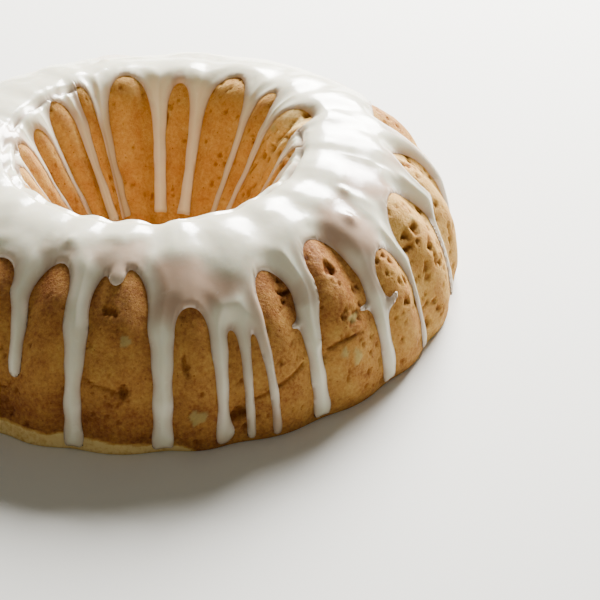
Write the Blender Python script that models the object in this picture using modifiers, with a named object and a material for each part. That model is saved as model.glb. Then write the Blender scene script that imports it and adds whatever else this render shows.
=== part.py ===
"""Fluted ring pound cake with poured white icing, at its real size in metres, +Z up.

The cake is one piece: a section is spun round the hole, then each point is moved to its
place on the uneven flutes. The icing is a second piece, a thin closed sheet that lies on
the crown and runs down both walls in drips.

Places on the cake are given by two numbers. The angle is in degrees from the front (-Y),
growing towards +X. The run is the way along the section in millimetres, from the outer
edge of the base (0) up the outer wall, over the crown and down into the hole.
"""
from math import cos, radians, sin, tau

import bmesh
import bpy
import numpy as np
from mathutils import Vector
from mathutils.bvhtree import BVHTree
from mathutils.geometry import delaunay_2d_cdt
from mathutils.kdtree import KDTree

MM = 0.001
# Where the hole's axis stands, so that the uneven outline is centred on the origin
AXIS_X = -0.212 * MM
AXIS_Y = 1.683 * MM

# The section as (radius, height) in millimetres, from the outer edge of the base to the inner one
SECTION = (
    (120.2, 0.0), (120.6, 5.0), (118.6, 18.0), (113.0, 31.5), (102.8, 43.5), (89.2, 52.0), (76.0, 56.3),
    (65.0, 57.5), (57.0, 55.8), (51.0, 50.0), (45.0, 39.5), (39.0, 28.0), (32.5, 15.0), (27.0, 3.0),
    (26.0, 0.0),
)
# Angles of the grooves between the flutes, uneven as baked
GROOVES = (
    -40.0, -24.0, -11.5, 4.8, 17.5, 34.0, 50.0, 63.5, 81.5, 97.0, 109.0,
    123.0, 138.0, 162.0, 182.0, 208.5, 221.0, 238.0, 254.0, 271.0, 288.0, 304.0,
)
# Groove depth in millimetres at some runs: shallow at the base, deepest on the shoulder
GROOVE_RUNS = (0.0, 12.0, 30.0, 50.0, 70.0, 88.0, 105.0, 130.0, 160.0)
GROOVE_DEPTHS = (1.6, 2.8, 3.8, 4.2, 3.0, 2.2, 2.6, 2.6, 2.2)
FLUTE_POWER = 1.3
MEAN_FLUTE = 360.0 / len(GROOVES)
# How far the risen shoulder stands out, in millimetres, at some angles
SWELL_ANGLES = (-60.0, 0.0, 60.0, 90.0, 125.0, 150.0, 180.0, 230.0)
SWELLS = (0.0, 0.4, 1.2, 2.2, 2.0, -1.0, -3.2, -1.6)
# Base lip: a soft rim of crumb that stands out under the crust at the front left
LIP_MIDDLE = -24.0
LIP_SPAN = 30.0
LIP_HEIGHT = 5.0
LIP_OUT = 1.4

# Mesh lines: runs of the rows, and columns to each flute
ROWS = (
    0.0, 2.0, 5.5, 12.0, 20.0, 28.0, 36.0, 44.0, 51.0, 58.0, 64.0, 70.0, 76.0, 82.0,
    88.0, 93.0, 98.0, 103.0, 109.0, 118.0, 130.0, 142.0, 152.0, 159.0,
)
COLUMNS_PER_FLUTE = 6

# Pits in the crust as (angle, run, width, height) in degrees and millimetres
PITS = (
    (44.0, 34.3, 7.0, 4.0), (44.0, 54.6, 4.0, 5.0), (71.5, 44.1, 4.0, 4.5), (67.0, 41.3, 3.5, 3.0),
    (63.0, 42.4, 3.0, 3.0), (86.0, 53.0, 3.4, 4.0), (85.0, 47.0, 4.0, 3.0), (64.5, 9.8, 4.4, 3.0),
    (32.0, 53.0, 5.0, 3.0), (-6.0, 54.6, 4.0, 5.0), (-2.0, 25.2, 2.4, 5.0), (18.0, 12.5, 5.0, 4.4),
    (9.0, 34.3, 2.0, 6.0), (72.5, 26.6, 3.0, 3.4), (56.5, 27.0, 3.0, 3.0), (110.5, 108.0, 3.4, 3.0),
    (150.0, 30.0, 4.0, 4.0), (172.0, 24.0, 5.0, 3.4), (215.0, 34.0, 4.0, 3.0), (246.0, 20.0, 5.0, 4.0),
    (262.0, 38.0, 4.0, 3.0), (280.0, 22.0, 3.4, 5.0), (296.0, 34.0, 4.4, 3.4), (312.0, 18.0, 4.0, 4.0),
)
PIT_DEPTH = 1.6

# Icing: thickness in millimetres on the walls, over the crown and at its edge, how far it fills the
# grooves, and the clear gap under it
WALL_THICKNESSES = {-1: 1.8, 1: 1.2}
CROWN_THICKNESS = 2.2
EDGE_THICKNESS = 0.7
POOLED_SHARE = 0.7
MOST_THICKNESS = 5.0
OUTER_RIDGE_TOP = 66.0
INNER_RIDGE_TOP = 101.0
RIDGE_STEP = 6.0
ICING_GAP = 0.35 * MM
LIFT_ROUNDS = 8
CROWN_RUN = 87.0
LOWEST_RUN = 1.6
DEEPEST_RUN = 156.6
# Drips on the outer wall: (angle, run) down the middle, then the width
OUTER_DRIPS = (
    (((-31.0, 66.0), (-25.7, 52.0), (-23.4, 34.0), (-22.9, 27.0)), 5.0),
    (((-13.2, 60.0), (-11.7, 38.0), (-11.4, 20.0), (-11.0, 3.4)), 7.0),
    (((5.1, 58.0), (4.7, 22.0), (4.4, 3.2)), 7.8),
    (((16.0, 44.0), (15.5, 26.0), (14.9, 4.0)), 5.4),
    (((20.9, 43.0), (20.2, 25.0), (20.0, 2.8)), 3.4),
    (((24.0, 42.0), (24.3, 23.0), (24.6, 2.8)), 3.4),
    (((37.0, 54.0), (34.9, 39.0), (34.1, 28.0), (33.8, 3.6)), 7.0),
    (((53.0, 46.0), (51.0, 31.0), (50.0, 3.2)), 7.0),
    (((66.4, 48.0), (62.6, 29.0), (62.0, 3.0)), 3.8),
    (((84.3, 53.0), (84.9, 42.0), (82.0, 35.0), (77.5, 7.0)), 4.4),
    (((101.0, 60.0), (100.0, 30.0), (99.0, 8.0)), 4.6),
    (((123.0, 60.0), (123.5, 30.0), (123.0, 12.0)), 6.0),
    (((139.0, 60.0), (138.0, 30.0), (137.0, 22.0)), 4.4),
    (((162.0, 62.0), (161.0, 30.0), (162.0, 4.0)), 6.6),
    (((183.0, 62.0), (182.0, 34.0), (182.5, 14.0)), 5.2),
    (((195.0, 62.0), (195.0, 45.0), (194.5, 31.0)), 4.0),
    (((209.0, 62.0), (208.0, 30.0), (208.5, 3.6)), 7.0),
    (((222.0, 62.0), (221.5, 30.0), (221.0, 18.0)), 4.6),
    (((238.0, 62.0), (239.0, 30.0), (238.0, 5.0)), 6.0),
    (((254.0, 62.0), (255.0, 40.0), (254.0, 24.0)), 4.4),
    (((271.0, 62.0), (270.0, 30.0), (271.0, 3.6)), 7.4),
    (((289.0, 62.0), (288.0, 30.0), (288.0, 10.0)), 4.8),
    (((304.0, 64.0), (305.0, 40.0), (305.0, 20.0)), 5.4),
    (((317.0, 66.0), (319.0, 40.0), (320.0, 6.0)), 6.2),
)
# Run of the icing's edge over the bare flute that follows each outer drip
OUTER_TOPS = (
    71.0, 72.0, 55.0, 46.0, 43.0, 64.0, 68.0, 50.0, 59.0, 60.0, 60.0, 58.0,
    56.0, 62.0, 64.0, 60.0, 62.0, 58.0, 64.0, 56.0, 66.0, 60.0, 64.0, 66.0,
)
# Drips inside the hole, in the same form, and the bare flutes between them
INNER_DRIPS = (
    (((-20.0, 100.0), (-20.0, 140.0)), 3.6),
    (((-3.0, 100.0), (-2.0, 132.0)), 4.2),
    (((17.0, 100.0), (17.0, 146.0)), 3.4),
    (((34.0, 100.0), (33.0, 124.0)), 3.8),
    (((51.0, 100.0), (50.0, 142.0)), 4.2),
    (((66.0, 100.0), (65.0, 130.0)), 3.4),
    (((82.0, 100.0), (82.0, 147.0)), 4.0),
    (((96.5, 100.0), (95.0, 152.0)), 4.4),
    (((123.0, 100.0), (123.0, 153.0)), 3.4),
    (((138.0, 100.0), (137.7, 154.0)), 3.8),
    (((163.5, 100.0), (163.0, 155.0)), 4.6),
    (((181.5, 100.0), (181.5, 155.0)), 5.2),
    (((208.8, 100.0), (209.5, 155.0)), 4.6),
    (((221.0, 100.0), (220.5, 154.0)), 3.8),
    (((240.0, 100.0), (240.0, 154.0)), 4.2),
    (((256.0, 100.0), (255.0, 148.0)), 3.6),
    (((273.0, 100.0), (272.0, 147.0)), 3.8),
    (((290.0, 100.0), (289.0, 126.0)), 3.4),
    (((307.0, 100.0), (306.0, 146.0)), 3.8),
    (((323.0, 100.0), (322.0, 136.0)), 3.4),
)
INNER_TOPS = (
    104.0, 101.0, 105.0, 102.0, 104.0, 101.0, 99.0, 89.0, 93.0, 91.5,
    100.0, 95.0, 96.0, 99.0, 104.0, 102.0, 104.0, 102.0, 105.0, 103.0,
)
ARCH_POINTS = 6
ARCH_SHARES = {-1: 0.75, 1: 1.3}
ARCH_LEAST = 1.5
ARCH_CLEAR = 4.0
ARCH_ROUND = 0.7
TIP_POINTS = 3
MIDDLE_COLUMNS = 66
MIDDLE_SPACING = 1.5 * MM
CROWN_SPACING = 3.0 * MM

CRUST_COLOR = (0.48, 0.25, 0.09, 1.0)
ICING_COLOR = (0.86, 0.84, 0.80, 1.0)


def curve(knots, values, places):
    """Read a smooth curve through the values at the knots."""
    knots = np.asarray(knots, dtype=float)
    values = np.asarray(values, dtype=float)
    slopes = np.gradient(values, knots)
    index = np.clip(np.searchsorted(knots, places, side="right") - 1, 0, len(knots) - 2)
    span = knots[index + 1] - knots[index]
    part = (places - knots[index]) / span
    start = (1 + 2 * part) * (1 - part) ** 2 * values[index]
    start_slope = part * (1 - part) ** 2 * span * slopes[index]
    end = part ** 2 * (3 - 2 * part) * values[index + 1]
    end_slope = part ** 2 * (part - 1) * span * slopes[index + 1]
    return start + start_slope + end + end_slope


def section_table():
    """Dense runs, radii and heights along the smooth section, in millimetres."""
    points = np.array(SECTION)
    chords = np.concatenate(([0.0], np.cumsum(np.hypot(*np.diff(points, axis=0).T))))
    places = np.linspace(0.0, chords[-1], 800)
    radii = curve(chords, points[:, 0], places)
    heights = curve(chords, points[:, 1], places)
    runs = np.concatenate(([0.0], np.cumsum(np.hypot(np.diff(radii), np.diff(heights)))))
    return runs, radii, heights


RUNS, RADII, HEIGHTS = section_table()
RADIUS_SLOPES = np.gradient(RADII, RUNS)
HEIGHT_SLOPES = np.gradient(HEIGHTS, RUNS)
# An angle-true map of the surface on a flat ring, for laying out the icing
PLAN_LOGS = -np.concatenate(([0.0], np.cumsum(np.diff(RUNS) * 2 / (RADII[1:] + RADII[:-1]))))


def flute_offset(angle, run):
    """How far the crust lies under the flutes' backs at this place, in millimetres."""
    edges = np.append(GROOVES, GROOVES[0] + 360.0)
    angle = (angle - GROOVES[0]) % 360.0 + GROOVES[0]
    index = np.clip(np.searchsorted(edges, angle, side="right") - 1, 0, len(GROOVES) - 1)
    widths = np.diff(edges)
    across = (angle - edges[index]) / widths[index]
    before = (widths[index - 1] + widths[index]) / 2
    after = (widths[index] + widths[(index + 1) % len(widths)]) / 2
    depth = np.interp(run, GROOVE_RUNS, GROOVE_DEPTHS) * (before + (after - before) * across) / MEAN_FLUTE
    return depth * (0.5 + 0.5 * cos(tau * across)) ** FLUTE_POWER


def shoulder_swell(angle, run):
    """How far the shoulder stands out at this place, in millimetres."""
    angles = np.append(SWELL_ANGLES, SWELL_ANGLES[0] + 360.0)
    swells = np.append(SWELLS, SWELLS[0])
    level = curve(angles, swells, (angle - SWELL_ANGLES[0]) % 360.0 + SWELL_ANGLES[0])
    return level * np.interp(run, (2.0, 30.0, 80.0, 105.0), (0.3, 1.0, 1.0, 0.2))


def base_lip(angle, run):
    """The pale rim of crumb at the foot of the front left, in millimetres."""
    turn = (angle - LIP_MIDDLE + 180.0) % 360.0 - 180.0
    round_share = max(0.0, 1.0 - (turn / LIP_SPAN) ** 2)
    up_share = max(0.0, 1.0 - run / LIP_HEIGHT)
    return LIP_OUT * round_share * up_share


def surface(angle, run, lift=0.0):
    """The point of the cake's crust at an angle and a run, in metres, with a lift off the surface."""
    run = min(max(run, 0.0), RUNS[-1])
    out = np.interp(run, RUNS, HEIGHT_SLOPES)
    up = -np.interp(run, RUNS, RADIUS_SLOPES)
    offset = shoulder_swell(angle, run) + base_lip(angle, run) - flute_offset(angle, run)
    radius = np.interp(run, RUNS, RADII) + out * offset
    level = np.interp(run, RUNS, HEIGHTS) + up * offset
    if run <= 0.0 or run >= RUNS[-1]:
        level = 0.0
    turn = radians(angle)
    point = Vector((radius * sin(turn), -radius * cos(turn), max(level, 0.0))) * MM
    if lift:
        normal = Vector((out * sin(turn), -out * cos(turn), up)).normalized()
        point += normal * lift
    return point


def flute_angle(even_angle):
    """Turn evenly spaced columns into columns that follow the uneven grooves."""
    edges = np.append(GROOVES, GROOVES[0] + 360.0)
    even_edges = np.linspace(0.0, 360.0, len(edges))
    return float(np.interp(even_angle % 360.0, even_edges, edges))


def material(name, color, roughness):
    """A Principled material."""
    paint = bpy.data.materials.new(name)
    paint.use_nodes = True
    shader = paint.node_tree.nodes["Principled BSDF"]
    shader.inputs["Base Color"].default_value = color
    shader.inputs["Roughness"].default_value = roughness
    shader.inputs["Metallic"].default_value = 0.0
    return paint


def add_object(name, mesh, paint, collection):
    """Turn a bmesh into a smooth-shaded object in a collection."""
    data = bpy.data.meshes.new(name)
    mesh.to_mesh(data)
    mesh.free()
    data.materials.append(paint)
    data.shade_smooth()
    made = bpy.data.objects.new(name, data)
    made.location = (AXIS_X, AXIS_Y, 0.0)
    collection.objects.link(made)
    return made


def cake_mesh():
    """Spin the closed section round the hole, then move each point to its place on the flutes."""
    mesh = bmesh.new()
    run_layer = mesh.verts.layers.float.new("run")
    loop = []
    for run in ROWS[:-1] + (RUNS[-1],):
        radius = np.interp(run, RUNS, RADII) * MM
        height = np.interp(run, RUNS, HEIGHTS) * MM
        point = mesh.verts.new((0.0, -radius, height))
        point[run_layer] = run
        loop.append(point)
    for first, second in zip(loop, loop[1:] + loop[:1]):
        mesh.edges.new((first, second))
    bmesh.ops.spin(
        mesh, geom=mesh.verts[:] + mesh.edges[:], axis=(0.0, 0.0, 1.0), cent=(0.0, 0.0, 0.0),
        angle=tau, steps=len(GROOVES) * COLUMNS_PER_FLUTE, use_merge=True,
    )
    for point in mesh.verts:
        even_angle = np.degrees(np.arctan2(point.co.x, -point.co.y))
        # The rounding keeps a column that lies on a groove from falling on its far side
        point.co = surface(flute_angle(round(even_angle, 3)), point[run_layer])
    bmesh.ops.recalc_face_normals(mesh, faces=mesh.faces)
    return mesh


def cut_pits(cake, collection):
    """Cut the larger pits of the crust with flattened spheres."""
    for number, (angle, run, width, height) in enumerate(PITS):
        mesh = bmesh.new()
        bmesh.ops.create_icosphere(mesh, subdivisions=1, radius=0.5 * MM)
        cutter = add_object(f"pit_{number:02d}", mesh, cake.data.materials[0], collection)
        normal = surface(angle, run, MM) - surface(angle, run)
        cutter.rotation_mode = "QUATERNION"
        cutter.rotation_quaternion = normal.to_track_quat("Z", "Y")
        cutter.location = cutter.location + surface(angle, run)
        cutter.scale = (width, height, 2.0 * PIT_DEPTH)
        cutter.hide_render = True
        cutter.display_type = "WIRE"
    cut = cake.modifiers.new("pits", "BOOLEAN")
    cut.operation = "DIFFERENCE"
    cut.operand_type = "COLLECTION"
    cut.collection = collection
    cut.solver = "EXACT"


def plan_point(angle, run):
    """Place on the flat, angle-true plan of the cake's surface."""
    radius = np.exp(np.interp(run, RUNS, PLAN_LOGS))
    return Vector((radius * sin(radians(angle)), -radius * cos(radians(angle))))


def plan_place(point):
    """Angle and run of a point of the plan."""
    angle = np.degrees(np.arctan2(point[0], -point[1]))
    run = np.interp(-np.log(np.hypot(point[0], point[1])), -PLAN_LOGS, RUNS)
    return angle, run


def degrees_of(width, run):
    """The angle that a width in millimetres takes at a run."""
    return np.degrees(width / np.interp(run, RUNS, RADII))


def middle_angle(path, run):
    """Angle of a drip's middle line at a run."""
    places = sorted((place_run, angle) for angle, place_run in path)
    return np.interp(run, [place[0] for place in places], [place[1] for place in places])


def drip_runs(path, top, down):
    """Runs of the mesh rows between a drip's last point and the bare flute's top beside it, going down."""
    end = path[-1][1]
    rows = [row for row in ROWS if (row - top) * down > 0.0 and (end - row) * down > 2.0]
    return sorted(rows, key=lambda row: row * down) + [end]


def arch_reach(drip, following, top, down):
    """How far the round top of a bare flute comes up between two drips, longer on a wide flute."""
    turn = (middle_angle(following[0], top) - middle_angle(drip[0], top)) % 360.0
    gap = radians(turn) * np.interp(top, RUNS, RADII) - (drip[1] + following[1]) / 2
    shortest = min(abs(drip[0][-1][1] - top), abs(following[0][-1][1] - top))
    return min(ARCH_SHARES[down] * gap + ARCH_LEAST, shortest - ARCH_CLEAR)


def drip_side(drip, start, down, hand):
    """One side of a drip, going down from a run, as (angle, run)."""
    path, width = drip
    side = []
    for run in drip_runs(path, start, down):
        side.append((middle_angle(path, run) + hand * degrees_of(width / 2, run), run))
    return side


def drip_tip(drip, down):
    """The round end of a drip, from its left side to its right side."""
    path, width = drip
    angle, run = path[-1]
    tip = []
    for number in range(1, TIP_POINTS + 1):
        turn = np.pi * number / (TIP_POINTS + 1)
        low = run + down * width / 2 * sin(turn)
        low = min(max(low, LOWEST_RUN), DEEPEST_RUN)
        tip.append((angle - degrees_of(width / 2, run) * cos(turn), low))
    return tip


def arch(start, end, top):
    """The round top of a bare flute, from one drip's side to the next one's."""
    points = []
    for number in range(1, ARCH_POINTS + 1):
        turn = np.pi * number / (ARCH_POINTS + 1)
        share = (1.0 - cos(turn)) / 2
        base = start[1] + (end[1] - start[1]) * share
        rise = (top - base) * sin(turn) ** ARCH_ROUND
        points.append((start[0] + (end[0] - start[0]) * share, base + rise))
    return points


def icing_edge(drips, tops, down):
    """The closed lower edge of the icing on one wall, and points down the middle of each drip."""
    edge = []
    middles = []
    starts = []
    for number, drip in enumerate(drips):
        following = drips[(number + 1) % len(drips)]
        starts.append(tops[number] + down * arch_reach(drip, following, tops[number], down))
    for number, drip in enumerate(drips):
        left = drip_side(drip, starts[number - 1], down, -1)
        right = drip_side(drip, starts[number], down, 1)
        following = drips[(number + 1) % len(drips)]
        next_left = drip_side(following, starts[number], down, -1)[0]
        if number == len(drips) - 1:
            next_left = (next_left[0] + 360.0, next_left[1])
        edge += left + drip_tip(drip, down) + right[::-1] + arch(right[0], next_left, tops[number])
        for run in drip_runs(drip[0], CROWN_RUN, down):
            middles.append((middle_angle(drip[0], run), run))
    return edge, middles


def crown_points():
    """Rows of points on the icing over the crown."""
    points = []
    for row in ROWS:
        if 44.0 < row < 106.0:
            for column in range(MIDDLE_COLUMNS):
                points.append((flute_angle(360.0 * column / MIDDLE_COLUMNS), row))
    return points


def rim_tree(rings):
    """Places all along the icing's two edges, for finding how far a point is from them."""
    places = []
    for ring in rings:
        for first, last in zip(ring, ring[1:] + ring[:1]):
            turn = (last[0] - first[0] + 180.0) % 360.0 - 180.0
            for part in (0.0, 0.25, 0.5, 0.75):
                places.append(surface(first[0] + part * turn, first[1] + part * (last[1] - first[1])))
    tree = KDTree(len(places))
    for number, place in enumerate(places):
        tree.insert(place, number)
    tree.balance()
    return tree


def clear_points(rim, middles, crown):
    """The inner points that keep their distance from the edge and from the points before them."""
    places = []
    kept = []
    for points, spacing in ((middles, MIDDLE_SPACING), (crown, CROWN_SPACING)):
        for angle, run in points:
            place = surface(angle, run)
            if rim.find(place)[2] > spacing and all((place - other).length > spacing for other in places):
                places.append(place)
                kept.append((angle, run))
    return kept


def sample_places(mesh):
    """Places all over a sheet, each with the points that carry it."""
    places = [(point.co.copy(), (point,)) for point in mesh.verts]
    for edge in mesh.edges:
        for part in (0.2, 0.35, 0.5, 0.65, 0.8):
            places.append((edge.verts[0].co.lerp(edge.verts[1].co, part), edge.verts))
    for face in mesh.faces:
        middle = face.calc_center_median()
        places.append((middle, face.verts))
        for point in face.verts:
            places.append((middle.lerp(point.co, 0.5), face.verts))
    return places


def lift_clear(mesh, cake_tree):
    """Raise the sheet where its flat faces would dip towards the crust."""
    for _ in range(LIFT_ROUNDS):
        raises = {}
        for place, points in sample_places(mesh):
            nearest, normal, _, _ = cake_tree.find_nearest(place)
            lack = ICING_GAP - (place - nearest).dot(normal)
            for point in points:
                if lack > raises.get(point, (0.0, normal))[0]:
                    raises[point] = (lack, normal)
        for point, (lack, normal) in raises.items():
            point.co += normal * lack


def icing_mesh(cake_tree):
    """Lay the icing's outline on the flat plan, fill it with triangles and wrap it over the cake."""
    outer, outer_middles = icing_edge(OUTER_DRIPS, OUTER_TOPS, -1)
    inner, inner_middles = icing_edge(INNER_DRIPS, INNER_TOPS, 1)
    edge = outer + inner
    rim = rim_tree((outer, inner))
    inside = clear_points(rim, outer_middles + inner_middles, crown_points())
    places = [plan_point(angle, run) for angle, run in edge + inside]
    outer_face = list(range(len(outer)))
    inner_face = list(range(len(outer), len(edge)))
    ridges = ridge_edges(inside, len(edge))
    rings = [outer_face, inner_face]
    points, _, triangles, _, _, owners = delaunay_2d_cdt(places, ridges, rings, 1, 1e-6, True)
    mesh = bmesh.new()
    weights = mesh.verts.layers.deform.verify()
    verts = []
    for point in points:
        angle, run = plan_place(point)
        vert = mesh.verts.new(surface(angle, run))
        inward = rim.find(vert.co)[2] / MM
        vert[weights][0] = min(icing_thickness(angle, run), EDGE_THICKNESS + inward) / MOST_THICKNESS
        verts.append(vert)
    for triangle, owner in zip(triangles, owners):
        if list(owner) == [0]:
            mesh.faces.new([verts[corner] for corner in triangle])
    loose = [point for point in mesh.verts if not point.link_faces]
    bmesh.ops.delete(mesh, geom=loose, context="VERTS")
    for vert in mesh.verts:
        if vert.is_boundary:
            vert[weights][0] = EDGE_THICKNESS / MOST_THICKNESS
    lift_clear(mesh, cake_tree)
    return mesh


def icing_thickness(angle, run):
    """Thickness of the icing away from its edge, in millimetres: most over the crown's grooves."""
    wall = WALL_THICKNESSES[-1] if run < CROWN_RUN else WALL_THICKNESSES[1]
    crown = float(np.interp(abs(run - CROWN_RUN), (12.0, 30.0), (1.0, 0.0)))
    pooled = POOLED_SHARE * flute_offset(angle, run)
    return min(wall + (CROWN_THICKNESS - wall) * crown + pooled, MOST_THICKNESS)


def ridge_edges(inside, first):
    """Edges down the middle of each drip, so that its back is one unbroken ridge."""
    edges = []
    for number in range(len(inside) - 1):
        run = inside[number][1]
        following = inside[number + 1][1]
        if run < following or max(run, following) > OUTER_RIDGE_TOP:
            if following < run or min(run, following) < INNER_RIDGE_TOP:
                continue
        if degrees_of(RIDGE_STEP, run) > abs(inside[number + 1][0] - inside[number][0]):
            edges.append((first + number, first + number + 1))
    return edges


def thicken(icing):
    """Give the sheet the thickness stored in its vertex group."""
    solid = icing.modifiers.new("thickness", "SOLIDIFY")
    solid.thickness = MOST_THICKNESS * MM
    solid.offset = 1.0
    solid.vertex_group = icing.vertex_groups.new(name="thickness").name


def clear_scene():
    """Remove what the scene holds."""
    for old in list(bpy.data.objects):
        bpy.data.objects.remove(old, do_unlink=True)


def build():
    """Model the cake and its icing."""
    clear_scene()
    parts = bpy.data.collections.new("ring_pound_cake")
    cutters = bpy.data.collections.new("cutters")
    bpy.context.scene.collection.children.link(parts)
    bpy.context.scene.collection.children.link(cutters)
    crust = material("crust", CRUST_COLOR, 0.75)
    icing_paint = material("icing", ICING_COLOR, 0.3)
    form = cake_mesh()
    cake_tree = BVHTree.FromBMesh(form)
    icing = add_object("icing", icing_mesh(cake_tree), icing_paint, parts)
    cake = add_object("cake", form, crust, parts)
    cut_pits(cake, cutters)
    thicken(icing)


build()
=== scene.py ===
"""Looks of the fluted ring pound cake: a fine crust with pits and fruit, and poured icing with drips."""
from math import cos, pi, radians, sin, tau

import bmesh
import bpy
import numpy as np
from mathutils import Matrix, Vector, noise


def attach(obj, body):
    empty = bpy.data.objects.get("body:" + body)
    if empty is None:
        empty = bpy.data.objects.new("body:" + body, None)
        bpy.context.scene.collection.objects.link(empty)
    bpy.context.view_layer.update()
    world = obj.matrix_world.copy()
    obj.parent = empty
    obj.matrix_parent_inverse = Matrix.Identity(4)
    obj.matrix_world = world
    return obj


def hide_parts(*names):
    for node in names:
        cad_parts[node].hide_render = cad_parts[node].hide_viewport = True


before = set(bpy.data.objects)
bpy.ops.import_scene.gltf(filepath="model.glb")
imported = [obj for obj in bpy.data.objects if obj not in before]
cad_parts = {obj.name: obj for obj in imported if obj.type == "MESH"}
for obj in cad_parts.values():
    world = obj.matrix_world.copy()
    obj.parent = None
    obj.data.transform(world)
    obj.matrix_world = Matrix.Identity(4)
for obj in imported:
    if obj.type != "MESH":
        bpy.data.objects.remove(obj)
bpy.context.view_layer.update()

MM = 0.001
# Where the hole's axis stands in the frame
AXIS = Vector((-0.85, 1.30, 0.0)) * MM

# Places on the cake: the angle is in degrees from the front (-Y), growing towards +X, and the run
# is the way along the section in millimetres, from the foot of the outer wall (0) over the crown
# and down into the hole

# The section as (radius, height) in millimetres
SECTION = (
    (120.2, 0.0), (120.6, 5.0), (118.6, 18.0), (113.0, 31.5), (102.8, 43.5),
    (89.2, 52.0), (76.0, 56.3), (65.0, 57.5), (57.0, 55.8), (51.0, 50.0),
    (45.0, 39.5), (39.0, 28.0), (32.5, 15.0), (27.0, 3.0), (26.0, 0.0),
)
SECTION_PLACES = 800
# Angles of the grooves between the flutes, and how deep a groove is at each run
GROOVES = (
    -40.0, -24.0, -11.5, 4.8, 17.5, 34.0, 50.0, 63.5, 81.5, 97.0, 109.0,
    123.0, 138.0, 162.0, 182.0, 208.5, 221.0, 238.0, 254.0, 271.0, 288.0, 304.0,
)
GROOVE_RUNS = (0.0, 12.0, 30.0, 50.0, 70.0, 88.0, 105.0, 130.0, 160.0)
GROOVE_DEPTHS = (1.6, 2.8, 3.8, 4.2, 3.0, 2.2, 2.6, 2.6, 2.2)
FLUTE_POWER = 1.3
MEAN_FLUTE = 360.0 / len(GROOVES)
# How far the shoulder stands out at each angle, and the share of it that shows at each run
SWELL_ANGLES = (-60.0, 0.0, 60.0, 90.0, 125.0, 150.0, 180.0, 230.0)
SWELLS = (0.0, 0.4, 1.2, 2.2, 2.0, -1.0, -3.2, -1.6)
SWELL_RUNS = (2.0, 30.0, 80.0, 105.0)
SWELL_SHARES = (0.3, 1.0, 1.0, 0.2)
# The pale rim of crumb at the foot of the front left
LIP_MIDDLE = -24.0
LIP_SPAN = 30.0
LIP_HEIGHT = 5.0
LIP_OUT = 1.4

# How finely the crust and the icing are spun, with rows as (start, end, step) stretches of runs
SPIN_STEPS = 3 * len(GROOVES)
CRUST_CUTS = 10
CRUST_ROWS = ((0.0, 60.0, 0.95), (60.0, 100.0, 1.8), (100.0, 159.2, 1.3))
ICING_CUTS = 13
ICING_TURN = 360.0 / SPIN_STEPS / (ICING_CUTS + 1)
ICING_ROWS = ((1.0, 60.0, 1.35), (60.0, 100.0, 1.8), (100.0, 155.0, 1.7))


def curve(knots, values, places):
    """Read a smooth curve through the values at the knots."""
    knots = np.asarray(knots, dtype=float)
    values = np.asarray(values, dtype=float)
    slopes = np.gradient(values, knots)
    index = np.clip(np.searchsorted(knots, places, side="right") - 1, 0, len(knots) - 2)
    span = knots[index + 1] - knots[index]
    part = (places - knots[index]) / span
    start = (1 + 2 * part) * (1 - part) ** 2 * values[index]
    start_slope = part * (1 - part) ** 2 * span * slopes[index]
    end = part ** 2 * (3 - 2 * part) * values[index + 1]
    end_slope = part ** 2 * (part - 1) * span * slopes[index + 1]
    return start + start_slope + end + end_slope


def section_table():
    """Dense runs, radii and heights along the smooth section, in millimetres."""
    points = np.array(SECTION)
    chords = np.concatenate(([0.0], np.cumsum(np.hypot(*np.diff(points, axis=0).T))))
    places = np.linspace(0.0, chords[-1], SECTION_PLACES)
    radii = curve(chords, points[:, 0], places)
    heights = curve(chords, points[:, 1], places)
    runs = np.concatenate(([0.0], np.cumsum(np.hypot(np.diff(radii), np.diff(heights)))))
    return runs, radii, heights


RUNS, RADII, HEIGHTS = section_table()
RADIUS_SLOPES = np.gradient(RADII, RUNS)
HEIGHT_SLOPES = np.gradient(HEIGHTS, RUNS)


def wrap(angle, start):
    """Turn angles into the full circle that begins at a start."""
    return (angle - start) % 360.0 + start


def turn_between(angle, middle):
    """Signed turn from a middle angle, from -180 to 180."""
    return (angle - middle + 180.0) % 360.0 - 180.0


def fade(value, start, end):
    """Smooth step from 0 at the start to 1 at the end."""
    share = np.clip((value - start) / (end - start), 0.0, 1.0)
    return share * share * (3.0 - 2.0 * share)


def near_share(angle, middle, span):
    """1 at a middle angle, falling softly to 0 beyond a span of degrees to either side."""
    return np.exp(-(turn_between(angle, middle) / span) ** 2)


def way_across(angle, middle, run):
    """Millimetres round the cake from a middle angle, at a run."""
    return np.radians(turn_between(angle, middle)) * np.interp(run, RUNS, RADII)


def degrees_of(width, run):
    """The angle that a width in millimetres takes at a run."""
    return float(np.degrees(width / np.interp(run, RUNS, RADII)))


def flute_offset(angle, run):
    """How far the crust lies under the flutes' backs, in millimetres."""
    edges = np.append(GROOVES, GROOVES[0] + 360.0)
    angle = wrap(angle, GROOVES[0])
    index = np.clip(np.searchsorted(edges, angle, side="right") - 1, 0, len(GROOVES) - 1)
    widths = np.diff(edges)
    across = (angle - edges[index]) / widths[index]
    before = (widths[index - 1] + widths[index]) / 2
    after = (widths[index] + widths[(index + 1) % len(widths)]) / 2
    depth = np.interp(run, GROOVE_RUNS, GROOVE_DEPTHS) * (before + (after - before) * across) / MEAN_FLUTE
    return depth * (0.5 + 0.5 * np.cos(2.0 * pi * across)) ** FLUTE_POWER


def shoulder_swell(angle, run):
    """How far the shoulder stands out, in millimetres."""
    angles = np.append(SWELL_ANGLES, SWELL_ANGLES[0] + 360.0)
    swells = np.append(SWELLS, SWELLS[0])
    level = curve(angles, swells, wrap(angle, SWELL_ANGLES[0]))
    return level * np.interp(run, SWELL_RUNS, SWELL_SHARES)


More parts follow.
